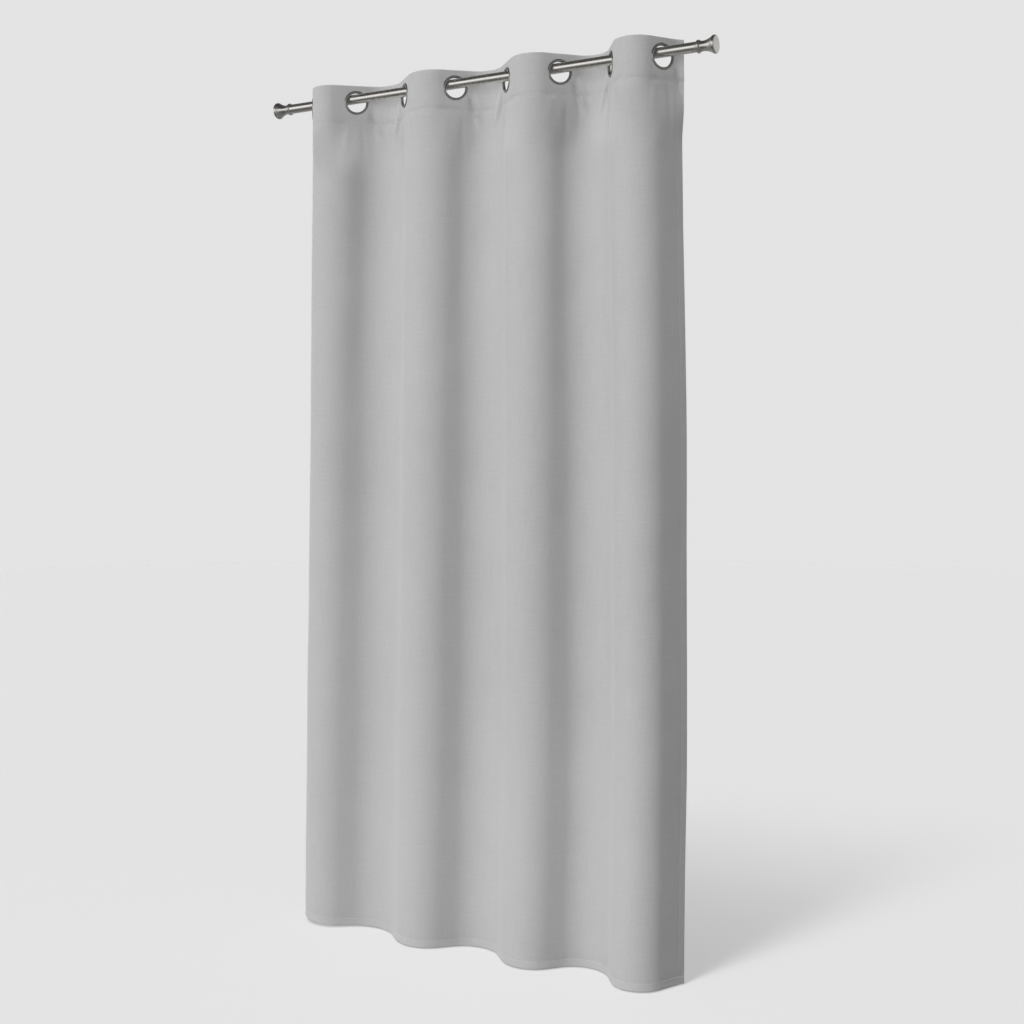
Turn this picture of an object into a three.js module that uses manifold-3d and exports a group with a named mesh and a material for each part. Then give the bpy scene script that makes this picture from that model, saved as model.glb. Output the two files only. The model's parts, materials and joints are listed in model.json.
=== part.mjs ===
// Eyelet curtain panel threaded on a metal rod, in millimetres, +Z up.
// Origin: on the rod's axis, midway between its two tube ends.
// +X runs along the rod, -Y faces the room, and the panel hangs down in -Z.
import * as THREE from 'three';
import { mergeVertices } from 'three/addons/utils/BufferGeometryUtils.js';
import Module from 'manifold-3d';

const wasm = await Module();
wasm.setup();

// Panel, as it is cut and sewn
const flatWidth = 1400;
const drop = 2250;
const eyeletCount = 8;
const sideMargin = 58; // eyelet centre to side edge, along the cloth
const eyeletDrop = 46; // eyelet centre below the top edge
const headingDepth = 105; // turned down at the top
const hemDepth = 21; // turned up at the bottom
const sideHemWidth = 20;
const seamWidth = 2; // cloth held together by one row of stitches
const clothThickness = 0.8;
const stiffenerThickness = 0.5;
const layerGap = 0.3;

// Panel, as it hangs
const firstEyeletX = -521.5;
const flankAngles = [56, 41, 41, 42, 44, 47, 54, 57].map(THREE.MathUtils.degToRad);
const straightHalf = 36; // cloth kept flat to each side of an eyelet
const foldGap = 0.6; // between two neighbouring flanks, at a fold
const hangDepth = 10; // eyelet centre below the rod's axis
const arcSteps = 5;

// Eyelet rings: a flanged barrel at the front and a snap ring at the back
const holeRadius = 25.5;
const ringRadius = 32;
const barrelRadius = 27;
const barrelLength = 2.4; // reach behind the middle of the cloth
const ringHeight = 2.2; // how far the front lip stands off the cloth
const snapHeight = 2.0;
const fitGap = 0.3;
const ringSteps = 24;

// Rod and finials
const rodLength = 1198;
const rodRadius = 12.5;
const rodWall = 1.2;
const seamX = -343; // where the two tubes meet
const joinerLength = 120;
const joinerWall = 1.5;
const collarLength = 8.5;
const collarRadius = 15.8;
const collarBore = 7;
const collarChamfer = 2.4;
const collarFlat = 2; // plain band round the middle of the collar
const neckRadius = 12.2;
const neckFoot = 0.8; // how far the foot of the neck stands out
const neckLength = 8; // before the flare
const flarePower = 1.8;
const headRadius = 21.8;
const headLength = 40;
const rimLength = 6; // from the end of the flare to the end face
const rimRound = 4; // where the rim starts to turn in
const rimChamfer = 1.2;
const endFaceRadius = 19; // flat middle of the end face
const bushLength = 40;
const bushChamfer = 0.8;
const bushRamp = 2;
const screwRadius = 3;
const screwHeadRadius = 5;
const screwHeadLength = 4;
const screwTip = 16; // how deep the finial is drilled for the screw
const screwEndGap = 1; // left beyond the screw's tip
const roundSteps = 32;
const hiddenSteps = 16;

const spacing = (flatWidth - 2 * sideMargin) / (eyeletCount - 1);
const eyeletZ = -hangDepth;
const topZ = eyeletZ + eyeletDrop;
const bottomZ = topZ - drop;

// Layers across the heading, from its middle: minus is the room side
const innerFace = stiffenerThickness / 2 + layerGap;
const outerFace = innerFace + clothThickness;
const hemFront = layerGap - innerFace;
const hemBack = hemFront + clothThickness;

const clothGrey = new THREE.MeshStandardMaterial({ color: 0xa9a9a8, roughness: 0.95, metalness: 0 });
const stiffenerWhite = new THREE.MeshStandardMaterial({ color: 0xe4e2dc, roughness: 0.9, metalness: 0 });
const satinNickel = new THREE.MeshStandardMaterial({ color: 0xb9b6b0, roughness: 0.3, metalness: 1 });
const innerSteel = new THREE.MeshStandardMaterial({ color: 0x8f9092, roughness: 0.45, metalness: 1 });
const blackPlastic = new THREE.MeshStandardMaterial({ color: 0x2b2b2c, roughness: 0.6, metalness: 0 });

function toManifold(geometry) {
  const bare = geometry.clone();
  bare.deleteAttribute('normal');
  bare.deleteAttribute('uv');
  const merged = mergeVertices(bare, 1e-4);
  return new wasm.Manifold(new wasm.Mesh({
    numProp: 3,
    vertProperties: new Float32Array(merged.attributes.position.array),
    triVerts: new Uint32Array(merged.index.array),
  }));
}

function toGeometry(solid) {
  const mesh = solid.getMesh();
  const geometry = new THREE.BufferGeometry();
  geometry.setAttribute('position', new THREE.BufferAttribute(mesh.vertProperties, 3));
  geometry.setIndex(new THREE.BufferAttribute(mesh.triVerts, 1));
  geometry.computeVertexNormals();
  return geometry;
}

function named(name, geometry, material) {
  const mesh = new THREE.Mesh(geometry, material);
  mesh.name = name;
  return mesh;
}

// A closed ring or turned solid: points are [radius, height] up the lathe's axis.
function turned(points, steps) {
  const outline = points.map(([radius, height]) => new THREE.Vector2(radius, height));
  if (THREE.ShapeUtils.isClockWise(outline)) outline.reverse();
  outline.push(outline[0].clone());
  return new THREE.LatheGeometry(outline, steps);
}

// One fold between two eyelets: a straight, an arc over the crest, and a straight.
// Both straights reach the crest at the same height, so both eyelets stay on the rod.
function foldBetween(angleA, angleB) {
  const low = Math.min(angleA, angleB);
  const high = Math.max(angleA, angleB);
  const stretch = Math.sin(high) / Math.sin(low);
  const lift = (Math.cos(low) - Math.cos(high)) / Math.sin(low);
  const radius = (spacing - straightHalf * (1 + stretch)) / (low + high + lift);
  const longStraight = straightHalf * stretch + lift * radius;
  const straightA = angleA === low ? longStraight : straightHalf;
  const straightB = angleB === low ? longStraight : straightHalf;
  const crestOffset = straightA * Math.cos(angleA) + radius * Math.sin(angleA);
  return {
    radius,
    crestOffset,
    span: crestOffset + straightB * Math.cos(angleB) + radius * Math.sin(angleB),
    rise: straightA * Math.sin(angleA) + radius * (1 - Math.cos(angleA)),
  };
}

const folds = [];
const eyeletXs = [firstEyeletX];
for (let i = 0; i < eyeletCount - 1; i += 1) {
  const fold = foldBetween(flankAngles[i], flankAngles[i + 1]);
  fold.side = i % 2 === 0 ? -1 : 1; // towards the room, then towards the wall
  fold.crestX = eyeletXs[i] + fold.crestOffset;
  fold.middleX = eyeletXs[i] + fold.span / 2;
  folds.push(fold);
  eyeletXs.push(eyeletXs[i] + fold.span);
}

// Stations on one half of a fold's arc: turn is the heading there, signed along +X.
function arcStations(fold, fromTurn, toTurn) {
  const stations = [];
  for (let step = 0; step <= arcSteps; step += 1) {
    const turn = fromTurn + (toTurn - fromTurn) * step / arcSteps;
    stations.push({
      x: fold.crestX + fold.radius * Math.sin(turn),
      y: fold.side * (fold.rise - fold.radius * (1 - Math.cos(turn))),
      heading: -fold.side * turn,
    });
  }
  return stations;
}

// A point on the flat cloth beside an eyelet: reach is signed along the panel.
function beside(i, reach) {
  const heading = headingAt(i);
  return {
    x: eyeletXs[i] + reach * Math.cos(heading),
    y: reach * Math.sin(heading),
    heading,
  };
}

function headingAt(i) {
  return (i % 2 === 0 ? -1 : 1) * flankAngles[i];
}

// The plan line of one flank, from the fold (or side edge) on its left to that on its right.
function flankStations(i) {
  const left = folds[i - 1];
  const right = folds[i];
  const stations = [];
  if (left) {
    const start = Math.asin((left.middleX + foldGap / 2 - left.crestX) / left.radius);
    stations.push(...arcStations(left, start, flankAngles[i]));
  } else {
    stations.push(beside(i, -sideMargin));
  }
  if (right) {
    const end = Math.asin((right.middleX - foldGap / 2 - right.crestX) / right.radius);
    stations.push(...arcStations(right, -flankAngles[i], end));
  } else {
    stations.push(beside(i, sideMargin));
  }
  return stations;
}

// A section of [depth, height] loops carried along a plan line, with both ends closed.
// The first loop is the outline and any others are pockets that run right through.
function swept(stations, loops) {
  const outline = loops.map((loop) => loop.map(([depth, z]) => new THREE.Vector2(depth, z)));
  const section = outline.flat();
  const positions = [];
  for (const { x, y, heading } of stations) {
    for (const point of section) {
      positions.push(x - point.x * Math.sin(heading), y + point.x * Math.cos(heading), point.y);
    }
  }
  const indices = [];
  const last = (stations.length - 1) * section.length;
  for (const [a, b, c] of THREE.ShapeUtils.triangulateShape(outline[0], outline.slice(1))) {
    indices.push(a, c, b, last + a, last + b, last + c);
  }
  let first = 0;
  for (const loop of outline) {
    for (let k = 0; k < loop.length; k += 1) {
      const next = first + (k + 1) % loop.length;
      for (let s = 0; s < stations.length - 1; s += 1) {
        const here = s * section.length;
        const there = here + section.length;
        indices.push(here + first + k, here + next, there + next);
        indices.push(here + first + k, there + next, there + first + k);
      }
    }
    first += loop.length;
  }
  const geometry = new THREE.BufferGeometry();
  geometry.setAttribute('position', new THREE.Float32BufferAttribute(positions, 3));
  geometry.setIndex(indices);
  return toManifold(geometry);
}

function rectangle(front, back, low, high) {
  return [[front, low], [back, low], [back, high], [front, high]];
}

function eyeletCutter(i, radius) {
  const cutter = new THREE.CylinderGeometry(radius, radius, 6 * outerFace, ringSteps);
  cutter.rotateZ(headingAt(i));
  cutter.translate(eyeletXs[i], 0, eyeletZ);
  return toManifold(cutter);
}

// The cloth's section: one layer, sewn down behind itself at the top and up at the bottom.
function clothSection() {
  const headingLow = topZ - headingDepth;
  const hemHigh = bottomZ + hemDepth;
  const outline = [
    [-outerFace, bottomZ],
    [hemBack, bottomZ],
    [hemBack, hemHigh],
    [-innerFace, hemHigh],
    [-innerFace, headingLow],
    [outerFace, headingLow],
    [outerFace, topZ],
    [-outerFace, topZ],
  ];
  const pocket = rectangle(-innerFace, innerFace, headingLow + seamWidth, topZ - clothThickness);
  const hemPocket = rectangle(-innerFace, hemFront, bottomZ + clothThickness, hemHigh - seamWidth);
  return [outline, pocket.reverse(), hemPocket.reverse()];
}

// Side hem: the cloth turned in behind itself and sewn flat, at one of the two side edges.
function sideHem(i, towards) {
  const low = bottomZ + hemDepth + layerGap;
  const high = topZ - headingDepth - layerGap;
  const ends = [sideMargin - layerGap, sideMargin - sideHemWidth];
  const stations = ends.map((reach) => beside(i, towards * reach));
  if (towards > 0) stations.reverse();
  return swept(stations, [rectangle(-innerFace - clothThickness / 2, hemBack, low, high)]);
}

function faceFabric(i) {
  let cloth = swept(flankStations(i), clothSection());
  if (i === 0) cloth = cloth.add(sideHem(i, -1));
  if (i === eyeletCount - 1) cloth = cloth.add(sideHem(i, 1));
  return toGeometry(cloth.subtract(eyeletCutter(i, barrelRadius + fitGap)));
}

// Buckram that keeps the heading upright, loose inside the turned-down cloth.
function headingStiffener(i) {
  const half = stiffenerThickness / 2;
  const low = topZ - headingDepth + seamWidth + layerGap;
  const high = topZ - clothThickness - layerGap;
  const band = swept(flankStations(i), [rectangle(-half, half, low, high)]);
  return toGeometry(band.subtract(eyeletCutter(i, barrelRadius + fitGap)));
}

function placeRing(mesh, i) {
  mesh.rotation.z = headingAt(i);
  mesh.position.set(eyeletXs[i], 0, eyeletZ);
  return mesh;
}

// Front ring: a rounded lip on the room side and a barrel through the cloth.
function frontRing() {
  const seat = -outerFace - fitGap;
  const lipWidth = ringRadius - holeRadius;
  const lip = (across, up) => [holeRadius + across * lipWidth, seat - up * ringHeight];
  return turned([
    [holeRadius, 0],
    lip(0.06, 0),
    lip(0.2, 0.7),
    lip(0.5, 1),
    lip(0.8, 0.7),
    lip(1, 0.2),
    lip(1, 0),
    [barrelRadius, seat],
    [barrelRadius, barrelLength],
    [(holeRadius + barrelRadius) / 2, barrelLength],
  ], ringSteps);
}

// Back ring: snaps over the barrel and grips the cloth from behind.
function backRing() {
  const seat = outerFace + fitGap;
  const bore = barrelRadius + fitGap;
  const ringWidth = ringRadius - bore;
  const ring = (across, up) => [bore + across * ringWidth, seat + up * snapHeight];
  return turned([ring(0, 0), ring(1, 0), ring(0.9, 0.5), ring(0.6, 1), ring(0.1, 1)], ringSteps);
}

function addPanel(group) {
  for (let i = 0; i < eyeletCount; i += 1) {
    const label = i + 1;
    group.add(named(`face_fabric_${label}`, faceFabric(i), clothGrey));
    group.add(named(`heading_stiffener_${label}`, headingStiffener(i), stiffenerWhite));
    group.add(placeRing(named(`eyelet_${label}_front_ring`, frontRing(), satinNickel), i));
    group.add(placeRing(named(`eyelet_${label}_back_ring`, backRing(), satinNickel), i));
  }
}

// A tube along X: LatheGeometry turns about Y, so the mesh is laid over.
function tube(name, fromX, toX, outer, wall, material) {
  const half = (toX - fromX) / 2;
  const section = [[outer - wall, -half], [outer, -half], [outer, half], [outer - wall, half]];
  const mesh = named(name, turned(section, roundSteps), material);
  mesh.rotation.z = -Math.PI / 2;
  mesh.position.x = (fromX + toX) / 2;
  return mesh;
}

function addRod(group) {
  const end = rodLength / 2;
  const joinerRadius = rodRadius - rodWall - fitGap;
  group.add(tube('rod_tube_left', -end, seamX - fitGap / 2, rodRadius, rodWall, satinNickel));
  group.add(tube('rod_tube_right', seamX + fitGap / 2, end, rodRadius, rodWall, satinNickel));
  group.add(tube(
    'rod_joiner',
    seamX - joinerLength / 2,
    seamX + joinerLength / 2,
    joinerRadius,
    joinerWall,
    innerSteel,
  ));
}

// Turned about its axis, with both ends of the profile on that axis.
function axisTurned(points, steps) {
  const outline = points.map(([radius, height]) => new THREE.Vector2(radius, height));
  return new THREE.LatheGeometry(outline, steps);
}

// Trumpet-shaped finial head: heights run outwards from the collar's outer face.
function finialHead() {
  const start = collarLength + fitGap;
  const end = start + headLength;
  const bore = screwRadius + fitGap;
  const flareStart = start + neckLength;
  const flareEnd = end - rimLength;
  const flareSteps = 5;
  const profile = [
    [0, start + screwTip],
    [bore, start + screwTip],
    [bore, start],
    [neckRadius + neckFoot, start],
    [neckRadius, start + neckFoot],
  ];
  for (let step = 0; step <= flareSteps; step += 1) {
    const t = step / flareSteps;
    const radius = neckRadius + (headRadius - neckRadius) * t ** flarePower;
    profile.push([radius, flareStart + (flareEnd - flareStart) * t]);
  }
  profile.push(
    [headRadius, end - rimRound],
    [headRadius - rimChamfer, end - rimChamfer],
    [endFaceRadius, end],
    [0, end],
  );
  return axisTurned(profile, roundSteps);
}

function finialCollar() {
  const low = fitGap;
  const middle = (low + collarLength) / 2;
  return turned([
    [collarBore, low],
    [collarRadius - collarChamfer, low],
    [collarRadius, middle - collarFlat / 2],
    [collarRadius, middle + collarFlat / 2],
    [collarRadius - collarChamfer, collarLength],
    [collarBore, collarLength],
  ], roundSteps);
}

// Bush inside the tube, which the screw draws up to hold the finial on.
function finialBush() {
  const radius = rodRadius - rodWall - fitGap;
  const bore = screwRadius + fitGap;
  return turned([
    [bore, -bushLength],
    [radius - bushChamfer, -bushLength],
    [radius, bushRamp - bushLength],
    [radius, 0],
    [bore, 0],
  ], hiddenSteps);
}

function finialScrew() {
  const headLow = -bushLength - fitGap - screwHeadLength;
  const tip = collarLength + fitGap + screwTip - screwEndGap;
  return axisTurned([
    [0, headLow],
    [screwHeadRadius, headLow],
    [screwHeadRadius, headLow + screwHeadLength],
    [screwRadius, headLow + screwHeadLength],
    [screwRadius, tip],
    [0, tip],
  ], hiddenSteps);
}

function addFinial(group, side, outward) {
  const finial = new THREE.Group();
  finial.add(named(`finial_${side}_head`, finialHead(), satinNickel));
  finial.add(named(`finial_${side}_collar`, finialCollar(), satinNickel));
  finial.add(named(`finial_${side}_bush`, finialBush(), blackPlastic));
  finial.add(named(`finial_${side}_screw`, finialScrew(), innerSteel));
  finial.rotation.z = -outward * Math.PI / 2;
  finial.position.x = outward * rodLength / 2;
  group.add(finial);
}

const curtain = new THREE.Group();
addRod(curtain);
addFinial(curtain, 'left', -1);
addFinial(curtain, 'right', 1);
addPanel(curtain);

export default curtain;
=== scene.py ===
"""Eyelet curtain panel hanging in S folds from a round metal rod, in metres.

Frame: origin on the rod's axis, midway between its two tube ends. +X runs along the rod,
-Y faces the room, +Z is up. The cloth is described by its flat place: s across the panel
from its left edge, and v down from its top edge.
"""

import json
import math

import bpy
import numpy as np
from mathutils import Matrix, Vector


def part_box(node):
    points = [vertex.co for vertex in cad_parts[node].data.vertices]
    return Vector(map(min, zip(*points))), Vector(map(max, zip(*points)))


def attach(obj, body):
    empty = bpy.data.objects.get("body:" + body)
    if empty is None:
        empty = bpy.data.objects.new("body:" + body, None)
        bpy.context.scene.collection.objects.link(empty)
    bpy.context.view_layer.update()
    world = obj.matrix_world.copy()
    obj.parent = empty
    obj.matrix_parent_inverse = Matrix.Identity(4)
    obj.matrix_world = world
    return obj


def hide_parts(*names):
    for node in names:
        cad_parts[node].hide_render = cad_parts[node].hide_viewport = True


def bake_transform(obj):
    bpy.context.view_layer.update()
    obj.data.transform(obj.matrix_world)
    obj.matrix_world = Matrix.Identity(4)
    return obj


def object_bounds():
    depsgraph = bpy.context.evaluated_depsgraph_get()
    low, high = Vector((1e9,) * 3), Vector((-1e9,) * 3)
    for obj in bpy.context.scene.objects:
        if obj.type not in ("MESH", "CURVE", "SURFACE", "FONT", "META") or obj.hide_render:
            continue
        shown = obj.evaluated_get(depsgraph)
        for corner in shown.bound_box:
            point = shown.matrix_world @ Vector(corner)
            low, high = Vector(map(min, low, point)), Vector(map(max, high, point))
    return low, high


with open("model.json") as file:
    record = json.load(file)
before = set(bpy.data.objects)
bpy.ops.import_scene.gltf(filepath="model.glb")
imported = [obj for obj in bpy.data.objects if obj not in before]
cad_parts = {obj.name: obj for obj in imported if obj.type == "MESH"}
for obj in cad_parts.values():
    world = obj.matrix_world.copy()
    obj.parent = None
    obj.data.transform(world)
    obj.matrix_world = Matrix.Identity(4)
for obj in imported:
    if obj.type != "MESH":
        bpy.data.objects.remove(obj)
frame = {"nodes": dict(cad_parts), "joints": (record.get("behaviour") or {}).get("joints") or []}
cad_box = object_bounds()

MM = 0.001

# Panel, as it is cut and sewn
FLAT_WIDTH = 1.400
DROP = 2.250
EYELETS = 8
SIDE_MARGIN = 0.058
PITCH = (FLAT_WIDTH - 2 * SIDE_MARGIN) / (EYELETS - 1)
EYELET_DROP = 0.046
HEADING_DEPTH = 0.105
HEM_DEPTH = 0.021
SIDE_HEM = 0.020
STITCH_INSET = 0.003  # from the edge of the turned cloth to its row of stitches
SEAM_ROWS = (HEADING_DEPTH - STITCH_INSET, DROP - HEM_DEPTH + STITCH_INSET)
SEAM_COLUMNS = (SIDE_HEM - STITCH_INSET, FLAT_WIDTH - SIDE_HEM + STITCH_INSET)

# Cloth layers, as depths behind the middle of the heading
FRONT = -1.35 * MM
BACK = -0.65 * MM
HEADING_BACK = 1.35 * MM
HEM_BACK = 0.35 * MM
EDGE_ROUND = 1.2 * MM
EDGE_SHARE = 0.25  # share of the cloth's thickness that is left at its very edge

# Panel, as it hangs: how steeply the cloth crosses the rod at each eyelet
HEADING_ANGLES = [56, 41, 41, 42, 44, 47, 54, 57]
HEADING_STRAIGHT = 0.036  # cloth kept flat to each side of an eyelet
FREE_ANGLES = [57.5, 55.5, 53.5, 54, 56.5, 60, 63.5, 64]  # a hand's width below the heading
FREE_STRAIGHT = 0.010
FREE_REACH = 0.14  # below the heading, where its stiffness is no longer felt
HEM_ANGLES = [58, 34.5, 42, 45, 46, 47, 54, 64]
HEM_STRAIGHT = 0.020
HEM_SHIFT = (-0.0377, 0.0160)  # from under the first eyelet to the hem there, along and across the rod
HEM_TURN = math.radians(1.1)  # the hem's line as a whole, turned from the rod away from the room
EARLY_SHARE = 0.35  # share of the change from free cloth to hem that comes early
EARLY_REACH = 0.9  # below the heading, where the early change is over
EDGE_TURN = 0.65  # share of the last flank's angle that is left at the heading's side edge
CORNER_LIFT = 0.015  # the hem's left corner hangs this much higher
LIFT_REACH = 0.40  # from the left edge, where the lift has died out
SWAY = math.radians(0.8)

# Drag lines below an eyelet: start and end as (towards the wall fold, down from the top edge), width, depth
DRAG_LINES = [
    ((0.030, 0.055), (0.062, 0.160), 0.005, 3.2 * MM),
    ((0.047, 0.045), (0.074, 0.150), 0.005, -2.8 * MM),
    ((0.014, 0.085), (0.022, 0.230), 0.007, 1.3 * MM),
    ((-0.020, 0.090), (-0.034, 0.200), 0.008, -1.0 * MM),
]

# Eyelet rings: a front lip with a barrel, and a back ring that snaps over it
HOLE_RADIUS = 0.0255
RING_RADIUS = 0.032
GRIP_RADIUS = 0.033  # the cloth is held flat up to here
CLOTH_HOLE = 0.0285
LIP_HEIGHT = 0.0022
LIP_CROWN = 0.0289  # radius where the lip stands highest
LIP_INNER = 0.0030  # width of the lip's inner slope
LIP_OUTER = 0.0028  # width of its outer slope
LIP_RIM = 0.0003  # height of the lip at its outer edge
BARREL_RADIUS = 0.027
BARREL_TIP = 0.026
BARREL_REACH = 0.0024  # behind the middle of the heading
BORE_REACH = 0.0020
SNAP_BORE = 0.0273
SNAP_HEIGHT = 0.0020
SNAP_LIFT = 0.0001  # of the dome's middle off its seat
RING_STEPS = 72

# Rod and finials
ROD_RADIUS = 0.0125
ROD_WALL = 0.0012
ROD_BEVEL = 0.0003
JOINER_RADIUS = 0.011
JOINER_WALL = 0.0015
COLLAR_LENGTH = 0.0085
COLLAR_BORE = 0.007
COLLAR_FOOT = 0.0124  # radius that the bead rises from
COLLAR_BEAD = 0.0034
NECK_RADIUS = 0.0122
NECK_ROUND = 0.0012
NECK_FOOT = 0.0010  # how far the rounded foot of the neck stands out
NECK_START = 0.0030
HEAD_RADIUS = 0.0218
HEAD_ROUND = 0.0032
FACE_RADIUS = 0.017  # flat end face
FACE_PROUD = 0.0002  # beyond the head's rounded edge
FLARE_START = 0.008
FLARE_END = 0.006  # from the end face
FLARE_POWER = 1.8
SCREW_HOLE = 0.0033
SCREW_DEPTH = 0.016
TURNED_STEPS = 96
SHARP_EDGE = 40  # degrees, on every turned piece
FIT_GAP = 0.0003


def smooth(x):
    """Rises from 0 to 1 with no corner at either end."""
    x = np.clip(x, 0, 1)
    return x * x * (3 - 2 * x)


# ---------------------------------------------------------------- camera

CAMERA_PLACE = (1.8835, -3.1084, -0.961)
CAMERA_TURN = 29.84  # degrees to the left of straight at the wall
CAMERA_LENS = 50.19  # mm
SENSOR_WIDTH = 36  # mm
CAMERA_SHIFT = -0.0525  # share of the picture's width


def add_camera():
    """Level camera to the right of the panel and below the rod, at eye height for a seated viewer."""
    data = bpy.data.cameras.new("camera")
    data.sensor_width = SENSOR_WIDTH
    data.lens = CAMERA_LENS
    data.shift_y = CAMERA_SHIFT
    data.clip_end = 100
    camera = bpy.data.objects.new("camera", data)
    camera.location = CAMERA_PLACE
    camera.rotation_euler = (math.radians(90), 0, math.radians(CAMERA_TURN))
    bpy.context.scene.collection.objects.link(camera)
    bpy.context.scene.camera = camera


add_camera()


# ---------------------------------------------------------------- plan line of the folds

EYELET_S = SIDE_MARGIN + PITCH * np.arange(EYELETS)
TURNS = np.where(np.arange(EYELETS) % 2 == 0, -1, 1)  # towards the room, then towards the wall
FIRST_EYELET = next(j for j in frame["joints"] if j["name"] == "panel_draw")["pos_m"]
TOP_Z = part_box("face_fabric_1")[1].z
EYELET_Z = TOP_Z - EYELET_DROP


def fold_straights(angle_a, angle_b):
    """Flat cloth beside both eyelets of a fold, so that both of them stay on the rod."""
    low, high = sorted((angle_a, angle_b))
    stretch = math.sin(high) / math.sin(low)
    lift = (math.cos(low) - math.cos(high)) / math.sin(low)
    radius = (PITCH - HEADING_STRAIGHT * (1 + stretch)) / (low + high + lift)
    longer = HEADING_STRAIGHT * stretch + lift * radius
    return (longer, HEADING_STRAIGHT) if angle_a == low else (HEADING_STRAIGHT, longer)


def directions_at(s, angles, straights, edge_turn=1.0):
    """Direction of the plan line at s, in radians from +X: straight at eyelets, turning evenly between."""
    places, values = [0.0], [TURNS[0] * angles[0]]
    for k in range(EYELETS - 1):
        before, after = straights[k]
        places += [EYELET_S[k] + before, EYELET_S[k + 1] - after]
        values += [TURNS[k] * angles[k], TURNS[k + 1] * angles[k + 1]]
    places += [EYELET_S[-1] + RING_RADIUS, FLAT_WIDTH]
    values += [TURNS[-1] * angles[-1], TURNS[-1] * angles[-1] * edge_turn]
    return np.interp(s, places, values)


# ---------------------------------------------------------------- flat grid of the cloth

FINE_CELL = PITCH / 48
LONG_CELL = 0.009  # down the cloth, below the heading
EDGE_STEPS = [0.0, 0.4 * MM, 1.3 * MM, 3 * MM]  # in from each edge, where it is rounded
LAYER_STEP = 0.3 * MM  # to each side of the line where a layer of cloth ends
FINE_LENGTH = HEADING_DEPTH + 0.030
FINE_END = HEADING_DEPTH + 0.020
LONG_START = HEADING_DEPTH + 0.023
HOLE_BAND = (0.8, 0.55)  # fine cells inside and outside an eyelet's edge that are moved onto it


def stations(length, marks, step):
    """Places from 0 to length at about that step, with every mark among them and fine steps at both ends."""
    stops = sorted(set(EDGE_STEPS + [length - e for e in EDGE_STEPS] + list(marks)))
    places = []
    for a, b in zip(stops[:-1], stops[1:]):
        count = max(1, round((b - a) / step))
        places += list(np.linspace(a, b, count, endpoint=False))
    return np.array(places + [length])


def both_sides(*edges):
    """Two marks for each edge, close together, so that a layer of cloth ends in a step."""
    return [e + side * LAYER_STEP for e in edges for side in (-1, 1)]


def nearest(places, value):
    """Index of the place nearest to the value."""
    return int(np.argmin(abs(places - value)))


COLUMNS = stations(FLAT_WIDTH, [*EYELET_S, *both_sides(SIDE_HEM, FLAT_WIDTH - SIDE_HEM)], FINE_CELL)
FINE_ROWS = stations(FINE_LENGTH, both_sides(HEADING_DEPTH), FINE_CELL)
LONG_ROWS = stations(DROP, both_sides(DROP - HEM_DEPTH), LONG_CELL)
ROWS = np.concatenate([FINE_ROWS[FINE_ROWS < FINE_END], LONG_ROWS[LONG_ROWS > LONG_START]])
S, V = np.meshgrid(COLUMNS, ROWS, indexing="ij")
EYELET_COLUMNS = [nearest(COLUMNS, s) for s in EYELET_S]
EYELET_ROW = nearest(ROWS, EYELET_DROP)


def value_noise(size_s, size_v, seed):
    """Smooth noise over the flat cloth, from about -1 to 1, with features of those sizes."""
    rng = np.random.default_rng(seed)
    a, b = S / size_s, V / size_v
    lattice = rng.uniform(-1, 1, (int(a.max()) + 2, int(b.max()) + 2))
    i, j = a.astype(int), b.astype(int)
    p, q = smooth(a - i), smooth(b - j)
    near = lattice[i, j] * (1 - p) + lattice[i + 1, j] * p
    far = lattice[i, j + 1] * (1 - p) + lattice[i + 1, j + 1] * p
    return near * (1 - q) + far * q


def crease(start, end, width, depth):
    """A soft line pressed into the cloth from start to end, as (s, v), fading at both ends."""
    ds, dv = end[0] - start[0], end[1] - start[1]
    along = ((S - start[0]) * ds + (V - start[1]) * dv) / (ds * ds + dv * dv)
    across = ((S - start[0]) * dv - (V - start[1]) * ds) / math.hypot(ds, dv)
    return depth * np.exp(-((across / width) ** 2)) * np.sin(math.pi * np.clip(along, 0, 1)) ** 2


# ---------------------------------------------------------------- how the cloth hangs

BELOW = V - HEADING_DEPTH
FREED = smooth(BELOW / FREE_REACH)
FALLEN = np.clip(BELOW / (DROP - HEADING_DEPTH), 0, 1)
RELAX = EARLY_SHARE * smooth(BELOW / EARLY_REACH) + (1 - EARLY_SHARE) * FALLEN
NEAR_EYELET = np.min([np.hypot(S - s, V - EYELET_DROP) for s in EYELET_S], axis=0)


def plan_directions():
    """Direction of the cloth seen from above, in radians from +X, at each grid point."""
    top, free, hem = (np.radians(a) for a in (HEADING_ANGLES, FREE_ANGLES, HEM_ANGLES))
    folds = EYELETS - 1
    top_straights = [fold_straights(a, b) for a, b in zip(top[:-1], top[1:])]
    at_top = directions_at(COLUMNS, top, top_straights, EDGE_TURN)[:, None]
    at_free = directions_at(COLUMNS, free, [(FREE_STRAIGHT, FREE_STRAIGHT)] * folds)[:, None]
    at_hem = directions_at(COLUMNS, hem, [(HEM_STRAIGHT, HEM_STRAIGHT)] * folds)[:, None]
    sway = SWAY * value_noise(0.16, 0.55, 3) * smooth(BELOW / 0.6)
    below = at_free * (1 - RELAX) + (at_hem + HEM_TURN) * RELAX
    return at_top * (1 - FREED) + below * FREED + sway


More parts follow.
